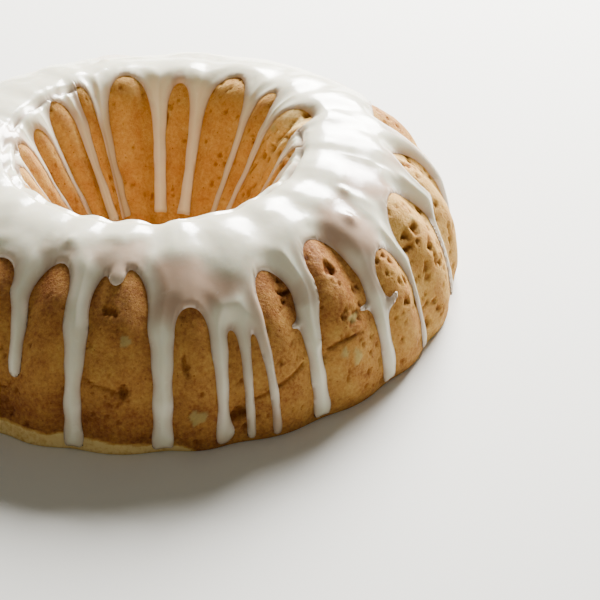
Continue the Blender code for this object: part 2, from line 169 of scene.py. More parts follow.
def base_lip(angle, run):
    """The pale rim of crumb at the foot of the front left, in millimetres."""
    round_share = np.clip(1.0 - (turn_between(angle, LIP_MIDDLE) / LIP_SPAN) ** 2, 0.0, 1.0)
    return LIP_OUT * round_share * np.clip(1.0 - run / LIP_HEIGHT, 0.0, 1.0)


def surface(angle, run, relief=0.0):
    """Points of the crust at angles and runs, in metres, moved out by a relief in millimetres."""
    out = np.interp(run, RUNS, HEIGHT_SLOPES)
    up = -np.interp(run, RUNS, RADIUS_SLOPES)
    offset = shoulder_swell(angle, run) + base_lip(angle, run) - flute_offset(angle, run) + relief
    radius = np.interp(run, RUNS, RADII) + out * offset
    level = np.interp(run, RUNS, HEIGHTS) + up * offset
    level = np.where((run <= 0.0) | (run >= RUNS[-1]), 0.0, np.maximum(level, 0.0))
    turn = np.radians(angle)
    points = np.stack((radius * np.sin(turn), -radius * np.cos(turn), level), axis=-1) * MM
    return points + np.array(AXIS)


def flute_angles(even_angles):
    """Turn evenly spaced columns into columns that follow the uneven grooves."""
    edges = np.append(GROOVES, GROOVES[0] + 360.0)
    even_edges = np.linspace(0.0, 360.0, len(edges))
    return np.interp(np.round(even_angles, 4) % 360.0, even_edges, edges)


def row_runs(parts):
    """Runs of the rows, from (start, end, step) stretches."""
    rows = []
    for start, end, step in parts:
        count = round((end - start) / step)
        rows += [start + (end - start) * number / count for number in range(count)]
    return rows + [parts[-1][1]]


def spun_sheet(rows, cuts, closed):
    """Spin a section round the hole, cut it finer, and give the mesh with each point's angle and run."""
    mesh = bmesh.new()
    run_layer = mesh.verts.layers.float.new("run")
    line = []
    for run in rows:
        radius = np.interp(run, RUNS, RADII) * MM
        point = mesh.verts.new((0.0, -radius, np.interp(run, RUNS, HEIGHTS) * MM))
        point[run_layer] = run
        line.append(point)
    ends = line[1:] + line[:1] if closed else line[1:]
    for first, second in zip(line, ends):
        mesh.edges.new((first, second))
    bmesh.ops.spin(
        mesh, geom=mesh.verts[:] + mesh.edges[:], axis=(0.0, 0.0, 1.0), cent=(0.0, 0.0, 0.0),
        angle=tau, steps=SPIN_STEPS, use_merge=True,
    )
    bmesh.ops.recalc_face_normals(mesh, faces=mesh.faces)
    round_edges = [edge for edge in mesh.edges if edge.verts[0][run_layer] == edge.verts[1][run_layer]]
    bmesh.ops.subdivide_edges(mesh, edges=round_edges, cuts=cuts, use_grid_fill=True)
    mesh.verts.index_update()
    places = np.array([point.co[:] for point in mesh.verts])
    runs = np.array([point[run_layer] for point in mesh.verts])
    even_angles = np.degrees(np.arctan2(places[:, 0], -places[:, 1]))
    return mesh, flute_angles(even_angles), runs


def lumps(points, size, seed):
    """Smooth noise between about -1 and 1, with lumps of a size in millimetres."""
    shift = Vector((seed * 13.7, seed * 5.1, seed * 9.3))
    scale = 1.0 / (size * MM)
    return np.array([noise.noise(Vector(point) * scale + shift) for point in points])


def finished_mesh(name, mesh):
    """Turn a mesh under construction into a mesh for an object."""
    data = bpy.data.meshes.new(name)
    mesh.to_mesh(data)
    mesh.free()
    return data


def set_attribute(data, name, values):
    """Store one number for each point of a mesh, for its material."""
    layer = data.attributes.new(name, "FLOAT", "POINT")
    layer.data.foreach_set("value", np.asarray(values, dtype=np.float32))


def finish_object(name, data, paint, node):
    """Make an object that stands for a node of the frame."""
    data.materials.append(paint)
    data.shade_smooth()
    made = bpy.data.objects.new(name, data)
    bpy.context.scene.collection.objects.link(made)
    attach(made, "root")
    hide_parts(node)
    return made


# Crust: pits as (angle, run, width, height, depth), in degrees and millimetres, and the smaller
# ones that break each pit's rim
PITS = (
    (44.0, 54.6, 4.0, 6.5, 1.5), (71.5, 44.1, 4.6, 4.6, 1.8), (67.0, 41.3, 4.2, 2.6, 1.5),
    (63.0, 42.8, 2.6, 3.0, 1.2), (86.0, 56.7, 3.4, 4.5, 1.6), (85.0, 49.7, 5.4, 3.0, 1.6),
    (91.0, 53.2, 4.6, 2.6, 1.4), (64.5, 9.8, 4.4, 4.2, 1.8), (32.0, 53.9, 5.2, 2.6, 1.3),
    (31.2, 50.5, 2.4, 1.8, 0.9), (25.0, 41.3, 1.8, 2.8, 1.1), (35.5, 24.5, 2.4, 3.2, 1.0),
    (-6.0, 54.6, 3.6, 3.8, 1.2), (-4.6, 53.6, 2.4, 2.0, 0.9), (-2.0, 25.2, 2.8, 5.6, 1.5),
    (18.0, 12.9, 7.0, 5.4, 2.0), (9.0, 34.3, 2.0, 7.4, 1.1), (116.5, 123.2, 2.2, 5.0, 1.2),
    (105.0, 102.9, 5.0, 2.6, 1.4), (111.0, 110.6, 3.2, 2.8, 1.2), (113.5, 116.2, 2.0, 3.4, 1.0),
    (110.5, 90.2, 3.2, 3.0, 1.4), (72.5, 26.6, 2.2, 3.0, 1.0), (67.5, 16.1, 3.0, 2.0, 0.9),
    (81.0, 42.7, 3.6, 2.6, 1.1), (57.5, 28.0, 3.2, 3.2, 1.4), (68.0, 45.5, 2.4, 2.4, 1.0),
    (72.0, 35.0, 2.6, 3.4, 1.2), (44.0, 34.3, 6.4, 4.0, 0.9), (19.0, 6.6, 3.0, 2.2, 0.9),
    (178.5, 115.5, 3.0, 5.0, 0.9), (60.0, 34.0, 2.0, 3.2, 0.9), (76.5, 38.0, 4.2, 2.2, 1.2),
    (150.0, 30.0, 4.0, 4.0, 1.4), (172.0, 24.0, 5.0, 3.4, 1.5), (215.0, 34.0, 4.0, 3.0, 1.3),
    (246.0, 20.0, 5.0, 4.0, 1.5), (262.0, 38.0, 4.0, 3.0, 1.2), (280.0, 22.0, 3.4, 5.0, 1.4),
    (296.0, 34.0, 4.4, 3.4, 1.4), (312.0, 18.0, 4.0, 4.0, 1.3),
)
PIT_SEED = 5
PIT_PIECES = 3
PIECE_REACH = 0.45
# Fruit that shows in the crust, in the same form, standing slightly proud
FRUIT = (
    (10.5, 14.7, 7.6, 6.0, 0.5), (43.6, 34.6, 7.4, 3.6, 0.4), (42.0, 20.6, 4.2, 7.0, 0.3),
    (-2.0, 43.4, 4.4, 5.0, 0.2), (39.6, 24.0, 3.4, 5.0, 0.2), (116.0, 104.5, 5.0, 3.0, 0.2),
    (73.0, 47.0, 3.0, 2.6, 0.3), (230.0, 28.0, 6.0, 5.0, 0.4), (290.0, 40.0, 5.0, 6.0, 0.3),
    (158.0, 26.0, 5.0, 4.0, 0.3), (195.0, 20.0, 6.0, 4.0, 0.3),
)
# Cracks as lines of (angle, run), with a width in millimetres
CRACKS = (
    (((21.0, 17.5), (24.0, 20.0), (27.5, 22.5), (31.0, 25.5)), 0.9),
    (((-9.4, 29.0), (-7.0, 26.5), (-4.5, 26.0), (-2.0, 24.0)), 0.8),
    (((-31.0, 17.0), (-27.5, 20.0), (-24.5, 19.0)), 0.8),
    (((37.0, 27.5), (40.0, 29.0), (44.5, 28.0)), 0.8),
    (((111.0, 96.0), (109.0, 100.0), (110.5, 106.0)), 0.8),
    (((228.0, 20.0), (232.0, 23.0), (235.0, 22.0)), 0.9),
)
CRACK_DEPTH = 0.8
# Small seeded pores all over, which crowd about an angle
PORE_COUNT = 1500
PORE_SEED = 11
PORE_CROWD = 85.0
PORE_CROWD_SPAN = 45.0
PORE_LEAST = 0.9
PORE_DEPTH_SHARE = 0.34
# The pits and pores as deep as this get the full painted shade
DARK_DEPTH = 0.6
# How brown the crust is, with painted shade added on the back and on one flute: 0 is pale crumb and 1 is
# darkest
OUTER_TONE = 0.57
HOLE_TONE = 0.52
FRONT_TONE = 0.07
FRONT_MIDDLE = -35.0
# Painted shade: the back of the crust is made darker against the strong light from behind
BACK_SHADE_TONE = 0.34
PALE_TONE = -0.12
PALE_MIDDLE = 88.0
PALE_SPAN = 34.0
SHOULDER_TONE = 0.12
# Painted shade: the upper part of the flute about 45 degrees is made darker where the light from behind and
# right falls on it
SHADED_FLUTE_TONE = 0.13
SHADED_FLUTE_MIDDLE = 45.0
SHADED_FLUTE_SPAN = 14.0
FOOT_TONE = 0.05
LEFT_FOOT_TONE = 0.16
SANDY_TONE = -0.36
SANDY_MIDDLE = 108.0
SANDY_SPAN = 12.0
LIP_TONE = -0.85
LIP_TOP = 6.4


def spot_share(angle, run, spot):
    """The points inside an oval spot of the crust, and their share: 1 at its middle, 0 at its rim."""
    middle, level, width, height = spot[:4]
    near = np.flatnonzero(abs(run - level) < height * 0.7)
    across = way_across(angle[near], middle, run[near])
    along = run[near] - level
    turn = np.arctan2(along, across)
    uneven = 1.0 + 0.30 * np.sin(3.0 * turn + 7.0 * middle) + 0.20 * np.sin(5.0 * turn + level)
    reach = uneven * ((2.0 * across / width) ** 2 + (2.0 * along / height) ** 2)
    inside = reach < 1.0
    return near[inside], 1.0 - reach[inside]


def broken_pits():
    """The pits, each with smaller ones across its rim, so that no outline is round."""
    random = np.random.default_rng(PIT_SEED)
    pits = []
    for angle, run, width, height, depth in PITS:
        pits.append((angle, run, width, height, depth))
        for _ in range(PIT_PIECES):
            turn = random.uniform(0.0, tau)
            share = random.uniform(0.35, 0.65)
            middle = angle + degrees_of(PIECE_REACH * width * cos(turn), run)
            level = run + PIECE_REACH * height * sin(turn)
            pits.append((middle, level, width * share, height * share, 0.45 * depth))
    return pits


def crack_share(angle, run, line, width):
    """1 along a crack's line, 0 beside it."""
    radius = np.interp(run, RUNS, RADII)
    share = np.zeros(len(angle))
    for (first_angle, first_run), (last_angle, last_run) in zip(line, line[1:]):
        across = way_across(angle, first_angle, run)
        along = run - first_run
        step_across = radians(last_angle - first_angle) * radius
        step_along = last_run - first_run
        length = step_across ** 2 + step_along ** 2
        part = np.clip((across * step_across + along * step_along) / length, 0.0, 1.0)
        gap = np.hypot(across - part * step_across, along - part * step_along)
        share = np.maximum(share, np.clip(1.0 - (gap / width) ** 2, 0.0, 1.0))
    return share


def seeded_pores():
    """Small pores all over the crust, more of them on the pale right side."""
    random = np.random.default_rng(PORE_SEED)
    pores = []
    while len(pores) < PORE_COUNT:
        angle = random.uniform(-180.0, 180.0)
        run = random.uniform(3.0, 152.0)
        crowded = near_share(angle, PORE_CROWD, PORE_CROWD_SPAN)
        wanted = (0.35 + 0.65 * crowded) * (np.interp(run, RUNS, RADII) / 120.0)
        if random.uniform() < wanted:
            width = random.uniform(PORE_LEAST, 2.0 + 0.9 * crowded)
            height = width * random.uniform(0.8, 1.5)
            pores.append((angle, run, width, height, width * PORE_DEPTH_SHARE))
    return pores


def outer_browning_and_shade(angle, run, front):
    """How brown the outer wall and the crown are, with painted shade on the back and on the upper flute
    about 45 degrees.
    """
    # Painted shade on the back, against the light that falls there
    back_shade = fade(-np.cos(np.radians(angle)), 0.1, 0.8)
    shoulder = fade(run, 36.0, 56.0) * fade(front, -0.3, 0.5)
    # Painted shade on the upper part of the flute about 45 degrees
    flute_shade = fade(run, 20.0, 45.0) * near_share(angle, SHADED_FLUTE_MIDDLE, SHADED_FLUTE_SPAN)
    left_foot = fade(run, 34.0, 8.0) * fade(turn_between(angle, 20.0), 20.0, -30.0)
    tone = PALE_TONE * near_share(angle, PALE_MIDDLE, PALE_SPAN) + BACK_SHADE_TONE * back_shade
    tone = tone + SHOULDER_TONE * shoulder + SHADED_FLUTE_TONE * flute_shade
    tone = tone + LEFT_FOOT_TONE * left_foot + FOOT_TONE * fade(run, 26.0, 6.0)
    return OUTER_TONE + FRONT_TONE * front + tone * fade(run, 100.0, 84.0)


def browning_and_shade(angle, run, points):
    """How brown the crust is, with painted shade in it, from 0, pale crumb, to 1, darkest."""
    front = np.cos(np.radians(turn_between(angle, FRONT_MIDDLE)))
    sandy = near_share(angle, SANDY_MIDDLE, SANDY_SPAN) * fade(run, 135.0, 100.0)
    hole = HOLE_TONE + 0.03 * front + SANDY_TONE * sandy
    tone = np.where(run > 92.0, hole, outer_browning_and_shade(angle, run, front))
    tone = tone + 0.05 * lumps(points, 17.0, 3) + 0.03 * lumps(points, 4.0, 5)
    lip = np.clip(1.0 - (turn_between(angle, LIP_MIDDLE) / (LIP_SPAN + 4.0)) ** 2, 0.0, 1.0) ** 0.5
    lip_top = LIP_TOP * lip + 0.7 * lumps(points, 6.0, 7)
    return np.clip(tone + LIP_TONE * fade(run, lip_top + 0.2, lip_top - 1.2), 0.0, 1.0)


def crust_lumps(points):
    """The baked surface's own unevenness, in millimetres: its broad lumps, and all of it."""
    broad = 0.40 * lumps(points, 15.0, 1)
    return broad, broad + 0.16 * lumps(points, 5.0, 2) + 0.07 * lumps(points, 2.2, 4)


def crust_relief(angle, run, points):
    """The crust's relief in millimetres, the share of painted shade in pits, cracks and round the fruit, and
    the share of fruit at each point.
    """
    left_foot = fade(run, 22.0, 8.0) * fade(turn_between(angle, 0.0), 10.0, -15.0)
    relief = crust_lumps(points)[1] + 0.24 * left_foot * lumps(points, 3.0, 6)
    relief += 0.5 * fade(run, 11.0, 4.0) * lumps(points, 4.5, 10)
    pit = np.zeros(len(angle))
    fruit = np.zeros(len(angle))
    for spot in broken_pits() + seeded_pores():
        inside, share = spot_share(angle, run, spot)
        relief[inside] -= spot[4] * share ** 0.4
        # Painted shade in the pits, darker the deeper they are
        pit[inside] = np.maximum(pit[inside], share ** 0.7 * min(1.0, spot[4] / DARK_DEPTH))
    for spot in FRUIT:
        inside, share = spot_share(angle, run, spot)
        relief[inside] += spot[4] * share ** 0.5
        fruit[inside] = np.maximum(fruit[inside], fade(share, 0.15, 0.5))
        # Painted shade in a thin ring round each fruit's rim
        pit[inside] = np.maximum(pit[inside], 0.5 * fade(share, 0.0, 0.12) * fade(share, 0.4, 0.15))
    for line, width in CRACKS:
        share = crack_share(angle, run, line, width)
        relief -= CRACK_DEPTH * share
        # Painted shade along the cracks
        pit = np.maximum(pit, 0.9 * share)
    return relief, pit, fruit


def crust_object(paint):
    """The fine crust: flutes, lumps, pits, cracks and fruit."""
    rows = row_runs(CRUST_ROWS) + [RUNS[-1]]
    mesh, angle, run = spun_sheet(rows, CRUST_CUTS, True)
    points = surface(angle, run)
    relief, pit, fruit = crust_relief(angle, run, points)
    wall = np.where((run > 0.0) & (run < RUNS[-1]), 1.0, 0.0) * fade(run, 0.0, 2.0) + 0.15
    for point, place in zip(mesh.verts, surface(angle, run, relief * wall)):
        point.co = place
    data = finished_mesh("crust", mesh)
    set_attribute(data, "browning_and_shade", browning_and_shade(angle, run, points))
    # The pit attribute holds painted shade in pits, cracks and round the fruit
    set_attribute(data, "pit", pit)
    set_attribute(data, "fruit", fruit)
    return finish_object("crust", data, paint, "cake")


# Icing: drips on the outer wall as (angle, run) down the middle, then the width, and the tops of
# the bare flutes, each after its drip
OUTER_DRIPS = (
    (((-31.0, 66.0), (-25.7, 52.0), (-23.4, 34.0), (-22.9, 27.0)), 5.0),
    (((-13.2, 60.0), (-11.7, 38.0), (-11.4, 20.0), (-11.0, 3.4)), 7.0),
    (((5.1, 58.0), (4.7, 22.0), (4.4, 3.2)), 7.8),
    (((16.0, 44.0), (15.5, 26.0), (14.9, 4.0)), 5.4),
    (((20.9, 43.0), (20.2, 25.0), (20.0, 2.8)), 3.4),
    (((24.0, 42.0), (24.3, 23.0), (24.6, 2.8)), 3.4),
    (((37.0, 54.0), (34.9, 39.0), (34.1, 28.0), (33.8, 3.6)), 7.0),
    (((53.0, 46.0), (51.0, 31.0), (50.0, 3.2)), 7.0),
    (((66.4, 48.0), (62.6, 29.0), (62.0, 3.0)), 3.8),
    (((84.3, 53.0), (84.9, 42.0), (82.0, 35.0), (77.5, 7.0)), 4.4),
    (((101.0, 60.0), (100.0, 30.0), (99.0, 8.0)), 4.6),
    (((123.0, 60.0), (123.5, 30.0), (123.0, 12.0)), 6.0),
    (((139.0, 60.0), (138.0, 30.0), (137.0, 22.0)), 4.4),
    (((162.0, 62.0), (161.0, 30.0), (162.0, 4.0)), 6.6),
    (((183.0, 62.0), (182.0, 34.0), (182.5, 14.0)), 5.2),
    (((195.0, 62.0), (195.0, 45.0), (194.5, 31.0)), 4.0),
    (((209.0, 62.0), (208.0, 30.0), (208.5, 3.6)), 7.0),
    (((222.0, 62.0), (221.5, 30.0), (221.0, 18.0)), 4.6),
    (((238.0, 62.0), (239.0, 30.0), (238.0, 5.0)), 6.0),
    (((254.0, 62.0), (255.0, 40.0), (254.0, 24.0)), 4.4),
    (((271.0, 62.0), (270.0, 30.0), (271.0, 3.6)), 7.4),
    (((289.0, 62.0), (288.0, 30.0), (288.0, 10.0)), 4.8),
    (((304.0, 64.0), (305.0, 40.0), (305.0, 20.0)), 5.4),
    (((317.0, 66.0), (319.0, 40.0), (320.0, 6.0)), 6.2),
)
OUTER_TOPS = (
    71.0, 72.0, 55.0, 46.0, 43.0, 64.0, 68.0, 50.0, 59.0, 60.0, 60.0, 58.0,
    56.0, 62.0, 64.0, 60.0, 62.0, 58.0, 64.0, 56.0, 66.0, 60.0, 64.0, 66.0,
)
# Drips and tops inside the hole
INNER_DRIPS = (
    (((-20.0, 100.0), (-20.0, 140.0)), 3.6),
    (((-3.0, 100.0), (-2.0, 132.0)), 4.2),
    (((17.0, 100.0), (17.0, 146.0)), 3.4),
    (((34.0, 100.0), (33.0, 124.0)), 3.8),
    (((51.0, 100.0), (50.0, 142.0)), 4.2),
    (((66.0, 100.0), (65.0, 130.0)), 3.4),
    (((82.0, 100.0), (82.0, 147.0)), 4.0),
    (((96.5, 100.0), (95.0, 152.0)), 4.4),
    (((123.0, 100.0), (123.0, 153.0)), 3.4),
    (((138.0, 100.0), (137.7, 154.0)), 3.8),
    (((163.5, 100.0), (163.0, 155.0)), 4.6),
    (((181.5, 100.0), (181.5, 155.0)), 5.2),
    (((208.8, 100.0), (209.5, 155.0)), 4.6),
    (((221.0, 100.0), (220.5, 154.0)), 3.8),
    (((240.0, 100.0), (240.0, 154.0)), 4.2),
    (((256.0, 100.0), (255.0, 148.0)), 3.6),
    (((273.0, 100.0), (272.0, 147.0)), 3.8),
    (((290.0, 100.0), (289.0, 126.0)), 3.4),
    (((307.0, 100.0), (306.0, 146.0)), 3.8),
    (((323.0, 100.0), (322.0, 136.0)), 3.4),
)
INNER_TOPS = (
    104.0, 101.0, 105.0, 102.0, 104.0, 101.0, 99.0, 89.0, 93.0, 91.5,
    100.0, 95.0, 96.0, 99.0, 104.0, 102.0, 104.0, 102.0, 105.0, 103.0,
)
# The arch over a bare flute: how full it is, its height for each millimetre of its width on the
# outer (-1) and inner (1) wall, its least height, and what it leaves of the drips beside it
ARCH_ROUND = 0.7
ARCH_SHARES = {-1: 0.75, 1: 1.3}
ARCH_LEAST = 1.5
ARCH_CLEAR = 4.0
ARCH_POINTS = 13
# How far a drip widens at its head, and the lowest runs that its tip reaches outside and inside
DRIP_FLARE = 2.6
TIP_POINTS = 9
LOWEST_RUN = 1.2
DEEPEST_RUN = 156.8
CROWN_RUN = 87.0
EDGE_STEP = 2.0
# How deep the icing lies on the two walls and the crown, and the share of the grooves it fills
WALL_DEPTHS = {-1: 1.9, 1: 1.3}
CROWN_DEPTH = 2.2
POOLED_SHARE = 0.72
# The icing's rim: the height and width of its round edge, and the width of the rise behind it
RIM_DEPTH = 1.1
RIM_WIDTH = 2.2
RISE_WIDTH = 8.5
RIM_ROUNDS = 4
PULL_ROUNDS = 3
PULL_STEP = 0.15
# The depth that hides the crust, the space under the icing, and its least thickness
COVER_DEPTH = 2.5
ICING_GAP = 0.05
LEAST_DEPTH = 0.1
# The grid on which the distance from the icing's edge is kept
FIELD_TURN = 0.25
FIELD_STEP = 0.5
FIELD_REACH = 9.0
FIELD_ANGLES = np.arange(-180.0, 180.0, FIELD_TURN)
FIELD_RUNS = np.arange(0.0, 158.0, FIELD_STEP)
# Thin films where the crust shows through: (angle, run, width, height, how thin)
FILMS = (
    (11.5, 62.0, 34.0, 34.0, 1.0), (-5.0, 76.0, 30.0, 20.0, 0.75), (150.0, 100.0, 16.0, 16.0, 0.6),
    (-24.0, 74.0, 12.0, 14.0, 0.5), (172.5, 106.0, 8.0, 26.0, 0.8), (50.0, 62.0, 26.0, 14.0, 0.5),
    (53.0, 42.0, 9.0, 20.0, 0.6), (217.0, 104.0, 8.0, 26.0, 0.6), (229.0, 108.0, 12.0, 24.0, 0.7),
    (36.0, 50.0, 10.0, 14.0, 0.5), (86.0, 62.0, 14.0, 12.0, 0.5), (196.0, 70.0, 26.0, 16.0, 0.6),
    (56.0, 64.0, 28.0, 34.0, 1.0), (74.0, 68.0, 24.0, 30.0, 0.95), (262.0, 98.0, 16.0, 18.0, 0.6),
    (262.0, 70.0, 30.0, 14.0, 0.6), (300.0, 72.0, 26.0, 14.0, 0.6), (338.0, 74.0, 18.0, 12.0, 0.5),
)


def middle_angle(path, run):
    """Angle of a drip's middle line at a run."""
    places = sorted((place_run, angle) for angle, place_run in path)
    runs = [place[0] for place in places]
    return float(curve(runs, [place[1] for place in places], np.clip(run, runs[0], runs[-1])))


def drip_width(drip, run, down):
    """A drip's width at a run: it wavers on its way and swells at its tip."""
    path, width = drip
    to_end = (path[-1][1] - run) * down
    waver = 0.07 * sin(run * 0.45 + path[0][0]) + 0.05 * sin(run * 0.21 + 2.0 * path[0][0])
    bulb = 0.16 * float(np.exp(-((to_end - 1.0) / 5.0) ** 2))
    flare = float(fade(run, 20.0, 54.0)) if down < 0 else float(fade(run, 130.0, 102.0))
    return width * (0.90 + waver + bulb) + DRIP_FLARE * flare * min(width / 5.0, 1.0)


def arch_reach(drip, following, top, down):
    """How far the round top of a bare flute comes up between two drips, longer on a wide flute."""
    turn = (middle_angle(following[0], top) - middle_angle(drip[0], top)) % 360.0
    gap = radians(turn) * np.interp(top, RUNS, RADII) - (drip[1] + following[1]) / 2
    shortest = min(abs(drip[0][-1][1] - top), abs(following[0][-1][1] - top))
    return min(ARCH_SHARES[down] * gap + ARCH_LEAST, shortest - ARCH_CLEAR)


def drip_side(drip, start, down, hand):
    """One side of a drip, going down from a run, as (angle, run)."""
    path = drip[0]
    end = path[-1][1]
    count = max(2, round(abs(end - start) / EDGE_STEP))
    side = []
    for number in range(count + 1):
        run = start + (end - start) * number / count
        half = degrees_of(drip_width(drip, run, down) / 2, run)
        side.append((middle_angle(path, run) + hand * half, run))
    return side


def drip_tip(drip, down):
    """The round end of a drip, from its left side to its right side."""
    angle, run = drip[0][-1]
    width = drip_width(drip, run, down)
    tip = []
    for number in range(1, TIP_POINTS + 1):
        turn = pi * number / (TIP_POINTS + 1)
        low = min(max(run + down * width / 2 * sin(turn), LOWEST_RUN), DEEPEST_RUN)
        tip.append((angle - degrees_of(width / 2, run) * cos(turn), low))
    return tip


def arch(start, end, top):
    """The round top of a bare flute, from one drip's side to the next one's."""
    points = []
    for number in range(1, ARCH_POINTS + 1):
        turn = pi * number / (ARCH_POINTS + 1)
        share = (1.0 - cos(turn)) / 2
        angle = start[0] + (end[0] - start[0]) * share
        base = start[1] + (end[1] - start[1]) * share
        points.append((angle, base + (top - base) * sin(turn) ** ARCH_ROUND))
    return points


def icing_edge(drips, tops, down):
    """The closed lower edge of the icing on one wall."""
    edge = []
    starts = []
    for number, drip in enumerate(drips):
        following = drips[(number + 1) % len(drips)]
        starts.append(tops[number] + down * arch_reach(drip, following, tops[number], down))
    for number, drip in enumerate(drips):
        left = drip_side(drip, starts[number - 1], down, -1)
        right = drip_side(drip, starts[number], down, 1)
        following = drips[(number + 1) % len(drips)]
        next_left = drip_side(following, starts[number], down, -1)[0]
        if number == len(drips) - 1:
            next_left = (next_left[0] + 360.0, next_left[1])
        edge += left + drip_tip(drip, down) + right[::-1] + arch(right[0], next_left, tops[number])
    return np.array(edge)


def row_distance(angles, level, edge, down):
    """Signed distance from one edge along one row of the field, positive on the icing."""
    closed = np.vstack((edge, edge[:1] + (360.0, 0.0)))
    start = closed[:-1]
    step = np.diff(closed, axis=0)
    low = np.minimum(start[:, 1], start[:, 1] + step[:, 1])
    high = np.maximum(start[:, 1], start[:, 1] + step[:, 1])
    crossing = np.flatnonzero((low <= level) & (high > level))
    if len(crossing) == 0:
        covered = (level - edge[:, 1].mean()) * down < 0.0
        inside = np.full(len(angles), covered)
    else:
        share = (level - start[crossing, 1]) / step[crossing, 1]
        places = wrap(start[crossing, 0] + share * step[crossing, 0], angles[0])
        order = np.argsort(places)
        enters = (step[crossing, 1] * down > 0.0)[order]
        before = np.searchsorted(places[order], angles, side="right") - 1
        inside = enters[before]
    radius = radians(1.0) * np.interp(level, RUNS, RADII)
    near = np.flatnonzero((low < level + FIELD_REACH) & (high > level - FIELD_REACH))
    if len(near) == 0:
        return np.where(inside, FIELD_REACH, -FIELD_REACH)
    across = turn_between(start[near, 0][None, :], angles[:, None]) * radius
    along = (start[near, 1] - level)[None, :]
    step_across = (step[near, 0] * radius)[None, :]
    step_along = step[near, 1][None, :]
    length = step_across ** 2 + step_along ** 2 + 1e-12
    part = np.clip(-(across * step_across + along * step_along) / length, 0.0, 1.0)
    gap = np.hypot(across + part * step_across, along + part * step_along).min(axis=1)
    return np.where(inside, np.minimum(gap, FIELD_REACH), -np.minimum(gap, FIELD_REACH))


# Dabs and short arms of icing beside the drips: (angle, run, length, width, turn)
DABS = (
    (-5.0, 68.5, 6.5, 9.0, 0.0), (48.2, 35.0, 9.0, 2.2, -10.0), (54.0, 31.6, 9.0, 2.4, 30.0),
    (32.8, 40.6, 9.0, 2.6, 8.0), (15.8, 6.0, 5.6, 6.0, 0.0), (271.4, 30.0, 7.8, 10.0, 0.0),
)
DAB_BLEND = 2.0
# Beads and blobs that stand up in the icing: (angle, run, radius, height)
BEADS = (
    (58.0, 65.0, 4.4, 1.5), (66.0, 74.0, 3.4, 0.8), (35.2, 30.4, 2.8, 0.8), (5.6, 6.0, 3.0, 0.6),
    (-11.2, 5.0, 3.0, 0.6), (50.2, 5.0, 2.8, 0.6), (-20.0, 80.0, 4.0, 0.7), (200.0, 80.0, 4.4, 0.9),
)


def add_dabs(field):
    """Join the dabs to the icing's field, with a soft corner where they meet a drip."""
    for middle, level, length, width, turn in DABS:
        across = way_across(FIELD_ANGLES[None, :], middle, FIELD_RUNS[:, None])
        along = (FIELD_RUNS - level)[:, None]
        lengthways = across * cos(radians(turn)) + along * sin(radians(turn))
        sideways = along * cos(radians(turn)) - across * sin(radians(turn))
        reach = np.hypot(2.0 * lengthways / length, 2.0 * sideways / width)
        dab = (1.0 - reach) * min(length, width) / 2
        meeting = np.clip(1.0 - abs(field - dab) / DAB_BLEND, 0.0, 1.0)
        field = np.maximum(field, dab) + meeting ** 2 * DAB_BLEND / 4
    return field


def distance_field():
    """Signed distance from the nearer of the icing's two edges, on a grid of runs and angles."""
    outer = icing_edge(OUTER_DRIPS, OUTER_TOPS, -1)
    inner = icing_edge(INNER_DRIPS, INNER_TOPS, 1)
    field = np.empty((len(FIELD_RUNS), len(FIELD_ANGLES)))
    for number, level in enumerate(FIELD_RUNS):
        if level < CROWN_RUN:
            field[number] = row_distance(FIELD_ANGLES, level, outer, -1)
        else:
            field[number] = row_distance(FIELD_ANGLES, level, inner, 1)
    return field


FIELD = add_dabs(distance_field())


def icing_distance(angle, run):
    """Signed distance from the icing's edge in millimetres, read between the points of the field."""
    column = (wrap(angle, -180.0) + 180.0) / FIELD_TURN
    row = np.clip((run - FIELD_RUNS[0]) / FIELD_STEP, 0.0, len(FIELD_RUNS) - 1.001)
    left = np.floor(column).astype(int)
    low = np.floor(row).astype(int)
    across = column - left
    along = row - low
    left = left % len(FIELD_ANGLES)
    right = (left + 1) % len(FIELD_ANGLES)
    below = FIELD[low, left] * (1 - across) + FIELD[low, right] * across
    above = FIELD[low + 1, left] * (1 - across) + FIELD[low + 1, right] * across
    return below * (1 - along) + above * along


def pull_to_edge(angle, run, distance, cell_angle, cell_run):
    """Pull the points beside the icing's edge onto it, so that the edge runs smooth."""
    for _ in range(PULL_ROUNDS):
        radius = np.interp(run, RUNS, RADII) * radians(1.0)
        across = (icing_distance(angle + PULL_STEP / radius, run) - distance) / PULL_STEP
        along = (icing_distance(angle, run + PULL_STEP) - distance) / PULL_STEP
        slope = np.maximum(across ** 2 + along ** 2, 0.2)
        near = abs(distance) < 0.5 * (abs(across) * cell_angle * radius + abs(along) * cell_run)
        pull = np.where(near, -distance / slope, 0.0)
        angle = angle + pull * across / radius
        run = run + pull * along
        distance = icing_distance(angle, run)
    return angle, run, distance


def film_share(angle, run, uneven):
    """How thin the icing lies in its films, from 0, full, to 1."""
    thin = np.zeros(len(angle))
    for spot in FILMS:
        inside, share = spot_share(angle, run, spot)
        thin[inside] = np.maximum(thin[inside], spot[4] * fade(share + 0.1 * uneven[inside], -0.1, 0.8))
    return thin


def keep_corners(mesh, bare):
    """Cut the faces that lose one corner across, so that the rest of them stays."""
    for face in list(mesh.faces):
        corners = list(face.verts)
        lost = [number for number, point in enumerate(corners) if bare[point.index]]
        if len(lost) == 1 and len(corners) == 4:
            bmesh.utils.face_split(face, corners[lost[0] - 1], corners[(lost[0] + 1) % 4])


def smooth_rim(mesh, angle, run):
    """Even out the sheet's border, so that it runs without teeth."""
    sides = {}
    for edge in mesh.edges:
        if edge.is_boundary:
            first, second = edge.verts[0].index, edge.verts[1].index
            sides.setdefault(first, []).append(second)
            sides.setdefault(second, []).append(first)
    rim = np.array([point for point, beside in sides.items() if len(beside) == 2])
    beside = np.array([sides[point] for point in rim])
    for _ in range(RIM_ROUNDS):
        turns = turn_between(angle[beside], angle[rim][:, None]).mean(axis=1)
        steps = run[beside].mean(axis=1) - run[rim]
        angle[rim] += 0.5 * turns
        run[rim] += 0.5 * steps


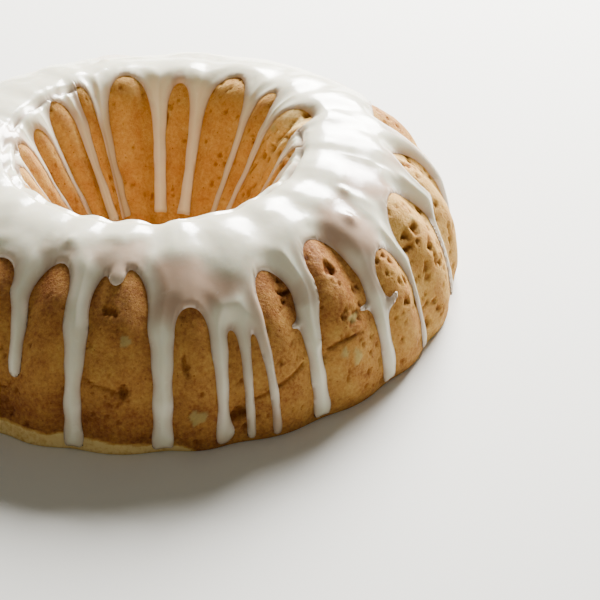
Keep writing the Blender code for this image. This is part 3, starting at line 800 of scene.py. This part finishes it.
def icing_height(angle, run, distance, points):
    """How high the icing stands over the crust in millimetres, and how well it covers it, from 0 to 1."""
    crown = fade(abs(run - CROWN_RUN), 30.0, 12.0)
    patchy = fade(0.5 + 0.9 * lumps(points, 11.0, 12), 0.0, 1.0)
    backs = 1.0 - fade(flute_offset(angle, run), 0.0, 2.6)
    films = film_share(angle, run, lumps(points, 8.0, 14))
    thin = np.maximum(films, 0.8 * (1.0 - crown) * backs * patchy)
    wall = np.where(run < CROWN_RUN, WALL_DEPTHS[-1], WALL_DEPTHS[1])
    waves = 0.6 * lumps(points, 16.0, 8) + 0.20 * lumps(points, 7.0, 9) + 0.06 * lumps(points, 3.5, 17)
    full = (wall + (CROWN_DEPTH - wall + waves) * crown) * (1.0 - 0.45 * thin)
    full = full + POOLED_SHARE * flute_offset(angle, run)
    rim = np.clip(distance / RIM_WIDTH, 0.0, 1.0)
    low = np.minimum(full, RIM_DEPTH) * np.sqrt(1.0 - (1.0 - rim) ** 2)
    height = low + np.maximum(full - RIM_DEPTH, 0.0) * fade(distance, 0.0, RISE_WIDTH) + 0.12
    for middle, level, radius, tall in BEADS:
        across = way_across(angle, middle, run)
        height += tall * np.exp(-((across ** 2 + (run - level) ** 2) / (0.6 * radius) ** 2))
    cover = np.minimum(height / COVER_DEPTH, 1.0) * (1.0 - thin)
    return height, cover


def icing_object(paint):
    """The poured icing: a smooth sheet over the crown with round drips down both walls."""
    rows = row_runs(ICING_ROWS)
    mesh, angle, run = spun_sheet(rows, ICING_CUTS, False)
    distance = icing_distance(angle, run)
    angle, run, distance = pull_to_edge(angle, run, distance, ICING_TURN, 1.5)
    number_layer = mesh.verts.layers.int.new("number")
    for point in mesh.verts:
        point[number_layer] = point.index
    bare = distance < -0.02
    keep_corners(mesh, bare)
    gone = [point for point in mesh.verts if bare[point.index]]
    bmesh.ops.delete(mesh, geom=gone, context="VERTS")
    loose = [point for point in mesh.verts if not point.link_faces]
    bmesh.ops.delete(mesh, geom=loose, context="VERTS")
    mesh.verts.index_update()
    kept = np.array([point[number_layer] for point in mesh.verts])
    angle, run = angle[kept], run[kept]
    smooth_rim(mesh, angle, run)
    run = np.clip(run, 0.8, 158.0)
    distance = np.maximum(icing_distance(angle, run), 0.0)
    points = surface(angle, run)
    height, cover = icing_height(angle, run, distance, points)
    broad, fine = crust_lumps(points)
    low = surface(angle, run, fine + ICING_GAP)
    high = surface(angle, run, np.maximum(broad + height, fine + ICING_GAP + LEAST_DEPTH))
    cover_layer = mesh.verts.layers.float.new("cover")
    for point, share in zip(mesh.verts, cover.tolist()):
        point[number_layer] = point.index
        point[cover_layer] = share
    shell = bmesh.ops.extrude_face_region(mesh, geom=mesh.faces[:], use_keep_orig=True)
    for point in mesh.verts:
        point.co = low[point[number_layer]]
    for part in shell["geom"]:
        if isinstance(part, bmesh.types.BMVert):
            part.co = high[part[number_layer]]
    bmesh.ops.recalc_face_normals(mesh, faces=mesh.faces)
    return finish_object("poured_icing", finished_mesh("icing", mesh), paint, "icing")


class Paint:
    """A material under construction, with short ways to add its nodes."""

    def __init__(self, name):
        self.material = bpy.data.materials.new(name)
        self.material.use_nodes = True
        self.tree = self.material.node_tree
        self.shader = self.tree.nodes["Principled BSDF"]
        self.place = self.tree.nodes.new("ShaderNodeTexCoord").outputs["Object"]

    def link(self, source, target):
        """Join a socket to another."""
        self.tree.links.new(source, target)

    def attribute(self, name):
        """The number stored in the mesh under a name."""
        node = self.tree.nodes.new("ShaderNodeAttribute")
        node.attribute_name = name
        return node.outputs["Fac"]

    def noise(self, size, detail=3.0, roughness=0.55):
        """Noise with patches of a size in millimetres."""
        node = self.tree.nodes.new("ShaderNodeTexNoise")
        node.inputs["Scale"].default_value = 1.0 / (size * MM)
        node.inputs["Detail"].default_value = detail
        node.inputs["Roughness"].default_value = roughness
        self.link(self.place, node.inputs["Vector"])
        return node.outputs["Fac"]

    def cells(self, size):
        """Distance to the nearest of scattered points, for pores."""
        node = self.tree.nodes.new("ShaderNodeTexVoronoi")
        node.inputs["Scale"].default_value = 1.0 / (size * MM)
        self.link(self.place, node.inputs["Vector"])
        return node.outputs["Distance"]

    def number(self, operation, first, second, clamp=False):
        """A sum, product or other operation on two numbers."""
        node = self.tree.nodes.new("ShaderNodeMath")
        node.operation = operation
        node.use_clamp = clamp
        for socket, value in zip(node.inputs, (first, second)):
            if isinstance(value, (int, float)):
                socket.default_value = value
            else:
                self.link(value, socket)
        return node.outputs[0]

    def spread(self, value, low, high, new_low=0.0, new_high=1.0):
        """Map a range of numbers onto another, clamped."""
        node = self.tree.nodes.new("ShaderNodeMapRange")
        self.link(value, node.inputs["Value"])
        for name, bound in zip(("From Min", "From Max", "To Min", "To Max"), (low, high, new_low, new_high)):
            node.inputs[name].default_value = bound
        return node.outputs["Result"]

    def ramp(self, value, stops):
        """A colour for each value, read between (position, colour) stops."""
        node = self.tree.nodes.new("ShaderNodeValToRGB")
        elements = node.color_ramp.elements
        while len(elements) < len(stops):
            elements.new(0.5)
        for element, (position, color) in zip(elements, stops):
            element.position = position
            element.color = (*color, 1.0)
        self.link(value, node.inputs["Fac"])
        return node.outputs["Color"]

    def mix(self, share, first, second, blend="MIX"):
        """Mix two colours by a share."""
        node = self.tree.nodes.new("ShaderNodeMix")
        node.data_type = "RGBA"
        node.blend_type = blend
        colors = [socket for socket in node.inputs if socket.type == "RGBA"]
        for socket, value in zip((node.inputs[0], *colors), (share, first, second)):
            if isinstance(value, (int, float)):
                socket.default_value = value
            elif isinstance(value, tuple):
                socket.default_value = (*value, 1.0)
            else:
                self.link(value, socket)
        return [socket for socket in node.outputs if socket.type == "RGBA"][0]

    def bump(self, height, strength, distance, below=None):
        """Bump from a height, over another bump."""
        node = self.tree.nodes.new("ShaderNodeBump")
        node.inputs["Strength"].default_value = strength
        node.inputs["Distance"].default_value = distance * MM
        self.link(height, node.inputs["Height"])
        if below is not None:
            self.link(below, node.inputs["Normal"])
        return node.outputs["Normal"]

    def finish(self, color, roughness, normal):
        """Put the colour, roughness and bump on the shader."""
        self.link(color, self.shader.inputs["Base Color"])
        self.link(roughness, self.shader.inputs["Roughness"])
        self.link(normal, self.shader.inputs["Normal"])
        return self.material


# Colours of the crust from pale to darkest, of the painted shade in its pits, pores and cracks, and of what
# lies in and on it
CRUST_TONES = (
    (0.0, (0.90, 0.66, 0.27)),
    (0.22, (0.69, 0.425, 0.13)),
    (0.42, (0.61, 0.34, 0.082)),
    (0.62, (0.50, 0.235, 0.056)),
    (0.80, (0.34, 0.132, 0.031)),
    (1.0, (0.18, 0.055, 0.012)),
)
PIT_SHADE_COLOR = (0.50, 0.34, 0.20)
FRUIT_COLOR = (0.50, 0.41, 0.15)
ICING_WHITE = (0.84, 0.795, 0.62)
ICING_THIN = (0.55, 0.385, 0.275)


def crust_paint():
    """Baked crust: brown where the tin was hot and darker where shade is painted, with crumb, and painted
    shade in its pores and pits.
    """
    paint = Paint("baked_crust")
    patches = paint.spread(paint.noise(9.0, 4.0), 0.3, 0.7, -0.13, 0.13)
    speckle = paint.spread(paint.noise(1.3, 5.0, 0.65), 0.3, 0.7, -0.15, 0.15)
    tone = paint.number("ADD", paint.attribute("browning_and_shade"), paint.number("ADD", patches, speckle), True)
    color = paint.ramp(tone, CRUST_TONES)
    # Pores: small dents in the bump, with painted shade in them
    pores = paint.spread(paint.cells(2.1), 0.10, 0.22, 1.0, 0.0)
    sparse = paint.spread(paint.noise(3.2, 2.0), 0.52, 0.60, 0.0, 0.7)
    pores = paint.number("MULTIPLY", pores, sparse)
    # Painted shade in the pits, cracks and round the fruit, from the pit attribute
    pit_shade = paint.spread(paint.attribute("pit"), 0.05, 0.7, 0.0, 0.75)
    color = paint.mix(pit_shade, color, PIT_SHADE_COLOR, "MULTIPLY")
    color = paint.mix(pores, color, PIT_SHADE_COLOR, "MULTIPLY")
    color = paint.mix(paint.number("MULTIPLY", paint.attribute("fruit"), 0.62), color, FRUIT_COLOR)
    rough = paint.spread(paint.noise(2.0), 0.3, 0.7, 0.62, 0.85)
    crumb = paint.bump(paint.noise(1.1, 6.0, 0.7), 0.8, 0.7)
    normal = paint.bump(pores, 0.6, -0.5, crumb)
    paint.shader.inputs["Specular IOR Level"].default_value = 0.12
    paint.shader.inputs["Subsurface Weight"].default_value = 0.06
    paint.shader.inputs["Subsurface Radius"].default_value = (0.004, 0.002, 0.001)
    paint.shader.inputs["Subsurface Scale"].default_value = 1.0
    return paint.finish(color, rough, normal)


def icing_paint():
    """Sugar icing: white and glossy where it is thick, tinted by the crust where it is thin."""
    paint = Paint("sugar_icing")
    uneven = paint.spread(paint.noise(5.0), 0.3, 0.7, -0.05, 0.05)
    cover = paint.number("ADD", paint.attribute("cover"), uneven)
    share = paint.spread(cover, 0.02, 0.80)
    color = paint.mix(share, ICING_THIN, ICING_WHITE)
    rough = paint.spread(paint.noise(6.0), 0.3, 0.7, 0.14, 0.28)
    normal = paint.bump(paint.noise(3.5, 2.0), 0.12, 0.4)
    paint.shader.inputs["Specular IOR Level"].default_value = 0.5
    paint.shader.inputs["Subsurface Weight"].default_value = 0.35
    paint.shader.inputs["Subsurface Radius"].default_value = (0.003, 0.0022, 0.0015)
    paint.shader.inputs["Subsurface Scale"].default_value = 1.0
    return paint.finish(color, rough, normal)


# The plain floor and the soft light
FLOOR_COLOR = (0.80, 0.79, 0.745)
FLOOR_SIZE = 6.0
FLOOR_LEVEL = -0.0002
LIGHT_PLACE = Vector((0.36, 1.15, 0.68))
LIGHT_TARGET = Vector((0.0, 0.0, 0.03))
LIGHT_SIZE = 0.7
LIGHT_POWER = 160.0
LIGHT_COLOR = (1.0, 0.99, 0.96)
FILL_COLOR = (1.0, 0.95, 0.78)
FILL_STRENGTH = 0.20


def floor_paint():
    """A plain material for the floor."""
    material = bpy.data.materials.new("floor")
    material.use_nodes = True
    shader = material.node_tree.nodes["Principled BSDF"]
    shader.inputs["Base Color"].default_value = (*FLOOR_COLOR, 1.0)
    shader.inputs["Roughness"].default_value = 0.7
    return material


def add_floor():
    """The plain pale floor."""
    mesh = bmesh.new()
    bmesh.ops.create_grid(mesh, x_segments=1, y_segments=1, size=FLOOR_SIZE)
    data = finished_mesh("floor", mesh)
    data.materials.append(floor_paint())
    floor = bpy.data.objects.new("floor", data)
    floor.location.z = FLOOR_LEVEL
    bpy.context.scene.collection.objects.link(floor)


def add_light():
    """Soft daylight from behind and above, a little from the right, and a dim even fill."""
    world = bpy.data.worlds.new("studio")
    world.use_nodes = True
    fill = world.node_tree.nodes["Background"]
    fill.inputs["Color"].default_value = (*FILL_COLOR, 1.0)
    fill.inputs["Strength"].default_value = FILL_STRENGTH
    bpy.context.scene.world = world
    lamp = bpy.data.lights.new("window", "AREA")
    lamp.size = LIGHT_SIZE
    lamp.energy = LIGHT_POWER
    lamp.color = LIGHT_COLOR
    light = bpy.data.objects.new("window", lamp)
    light.location = LIGHT_PLACE
    light.rotation_euler = (LIGHT_TARGET - LIGHT_PLACE).to_track_quat("-Z", "Y").to_euler()
    bpy.context.scene.collection.objects.link(light)


# The camera: where it stands from the hole's axis, its tilt down, its roll and its lens
CAMERA_PLACE = Vector((57.9, -674.6, 460.1)) * MM
CAMERA_TILT = radians(35.256)
CAMERA_ROLL = radians(0.514)
CAMERA_LENS = 120.0


def add_camera():
    """The photograph's view."""
    forward = Vector((0.0, cos(CAMERA_TILT), -sin(CAMERA_TILT)))
    level_up = Vector((0.0, sin(CAMERA_TILT), cos(CAMERA_TILT)))
    right = Vector((cos(CAMERA_ROLL), 0.0, 0.0)) + sin(CAMERA_ROLL) * level_up
    up = cos(CAMERA_ROLL) * level_up - Vector((sin(CAMERA_ROLL), 0.0, 0.0))
    turn = Matrix((right, up, -forward)).transposed().to_4x4()
    lens = bpy.data.cameras.new("camera")
    lens.lens = CAMERA_LENS
    lens.sensor_width = 36.0
    lens.clip_start = 0.05
    camera = bpy.data.objects.new("camera", lens)
    camera.matrix_world = Matrix.Translation(CAMERA_PLACE + AXIS) @ turn
    bpy.context.scene.collection.objects.link(camera)
    bpy.context.scene.camera = camera


add_camera()
crust_object(crust_paint())
icing_object(icing_paint())
add_floor()
add_light()
